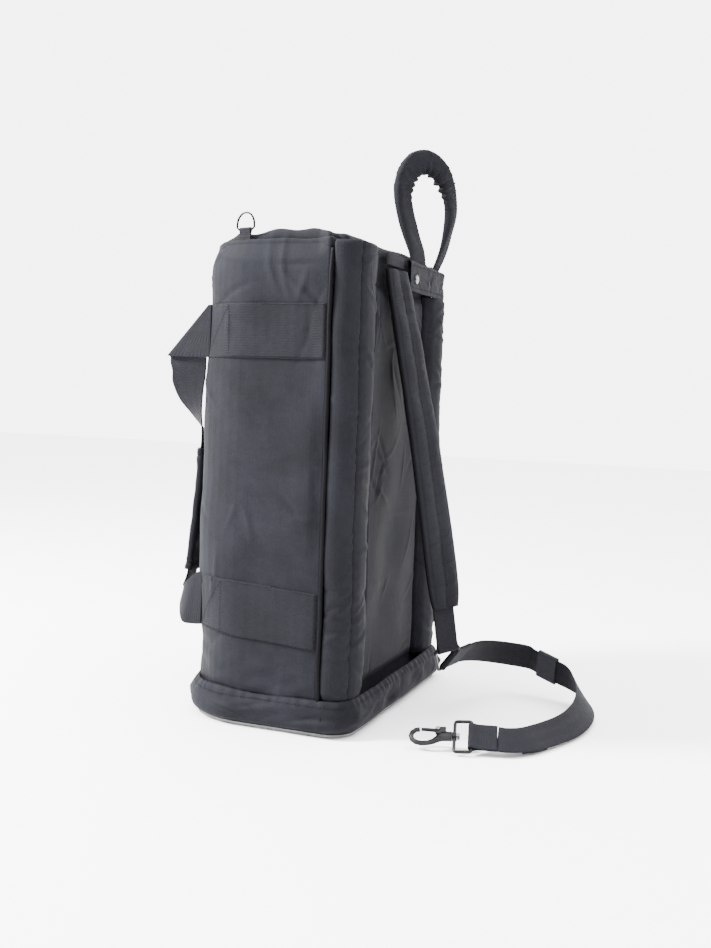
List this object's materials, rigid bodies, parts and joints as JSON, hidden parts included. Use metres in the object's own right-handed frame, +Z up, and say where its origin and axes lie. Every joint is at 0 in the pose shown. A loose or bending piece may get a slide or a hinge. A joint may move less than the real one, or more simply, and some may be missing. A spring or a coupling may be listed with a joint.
{
  "type": "rope storage bag",
  "caption": "Stiffened upright rope bag with open top, padded back, shoulder strap, side handles, haul loop and a webbing sling with a snap hook.",
  "frame": {"origin": "on the floor, under the bag and half way along it", "axes": "+X along the bag's long horizontal side, towards the far narrow side; +Y towards the plain front, away from the padded back; +Z up"},
  "size_m": [0.409, 0.5966, 0.8348],
  "materials": {
    "black_plastic": "moulded, satin",
    "board": "extruded sheet, matt",
    "bright_metal": "plain plated steel",
    "canvas": "coated woven polyester, satin",
    "dark_metal": "black coating, satin",
    "dark_trim": "woven piping and cord, matt",
    "padding": "woven cover over foam, satin",
    "sole_rubber": "moulded, matt",
    "webbing": "woven polyester webbing, matt"
  },
  "bodies": {
    "bag": {"base_board": "board", "boot_band": "canvas", "canvas_body": "canvas", "centre_back_panel": "padding", "collar_drawcord": "dark_trim", "far_back_hem": "canvas", "far_back_pad": "padding", "far_corner_piping": "dark_trim", "far_lower_band": "webbing", "far_upper_band": "webbing", "haul_loop_anchor_left": "webbing", "haul_loop_anchor_right": "webbing", "near_back_hem": "canvas", "near_back_pad": "padding", "near_corner_piping": "dark_trim", "near_lower_band": "webbing", "near_upper_band": "webbing", "press_stud_back": "bright_metal", "press_stud_cap": "bright_metal", "rim_binding": "webbing", "rim_ring_tab": "webbing", "shoulder_strap_anchor": "padding", "sole": "sole_rubber", "storm_collar": "canvas"},
    "near_handle": {"near_side_handle": "webbing", "near_handle_grip": "padding"},
    "far_handle": {"far_side_handle": "webbing", "far_handle_grip": "padding"},
    "haul_loop": {"haul_loop": "padding"},
    "shoulder_strap": {"shoulder_strap_pad": "padding", "shoulder_strap_webbing": "webbing"},
    "sling": {"triangle_ring": "dark_metal", "sling_upper_fold": "webbing", "sling_webbing": "webbing", "sling_tail": "webbing", "sling_lower_fold": "webbing"},
    "keeper": {"sling_keeper": "sole_rubber"},
    "hook_eye": {"hook_eye": "dark_metal"},
    "hook": {"hook_body": "dark_metal", "hook_swivel_post": "bright_metal", "hook_gate_rivet": "bright_metal"},
    "hook_gate": {"hook_gate": "dark_metal"},
    "rim_ring": {"rim_ring": "dark_metal"},
    "cord_lock": {"cord_lock_body": "black_plastic"},
    "cord_lock_button": {"cord_lock_button": "black_plastic"}
  },
  "joints": [
    {"name": "near_handle_swing", "type": "hinge", "parent": "bag", "child": "near_handle", "pos_m": [-0.1642, 0.1272, 0.345], "axis": [0, 0, 1], "range_deg": [0, 50]},
    {"name": "far_handle_swing", "type": "hinge", "parent": "bag", "child": "far_handle", "pos_m": [0.1642, 0.1272, 0.345], "axis": [0, 0, -1], "range_deg": [0, 50]},
    {"name": "haul_loop_tilt", "type": "hinge", "parent": "bag", "child": "haul_loop", "pos_m": [0.125, -0.0945, 0.65], "axis": [1, 0, 0], "range_deg": [-20, 40], "stiffness_Nm_per_rad": 1.5},
    {"name": "shoulder_strap_swing", "type": "hinge", "parent": "bag", "child": "shoulder_strap", "pos_m": [-0.035, -0.101, 0.63], "axis": [-1, 0, 0], "range_deg": [0, 55]},
    {"name": "triangle_ring_swing", "type": "hinge", "parent": "shoulder_strap", "child": "sling", "pos_m": [-0.0363, -0.1966, 0.0957], "axis": [-0.791, 0.5999, -0.12], "range_deg": [0, 60]},
    {"name": "keeper_slide", "type": "slide", "parent": "sling", "child": "keeper", "axis": [-0.3447, -0.9088, -0.235], "range_m": [-0.006, 0.006]},
    {"name": "hook_eye_swing", "type": "hinge", "parent": "sling", "child": "hook_eye", "pos_m": [-0.1705, -0.272, 0.0195], "axis": [0.7931, 0.2048, 0.5736], "range_deg": [-12, 12]},
    {"name": "hook_swivel", "type": "hinge", "parent": "hook_eye", "child": "hook", "pos_m": [-0.17558, -0.24738, 0.01773], "axis": [-0.2015, 0.977, -0.0702], "continuous": true},
    {"name": "hook_gate_pivot", "type": "hinge", "parent": "hook", "child": "hook_gate", "pos_m": [-0.17219, -0.22819, 0.02153], "axis": [-0.5747, -0.0599, 0.8161], "range_deg": [0, 25], "stiffness_Nm_per_rad": 0.02, "springref_deg": -11.46},
    {"name": "rim_ring_swing", "type": "hinge", "parent": "bag", "child": "rim_ring", "pos_m": [-0.18055, 0.0685, 0.671], "axis": [0.2521, 0.9677, 0], "range_deg": [-60, 60]},
    {"name": "cord_lock_slide", "type": "slide", "parent": "bag", "child": "cord_lock", "axis": [0, -1, 0], "range_m": [0, 0.012]},
    {"name": "cord_lock_press", "type": "slide", "parent": "cord_lock", "child": "cord_lock_button", "axis": [0, 0, -1], "range_m": [0, 0.0025], "stiffness_N_per_m": 300, "springref_m": -0.0005}
  ]
}
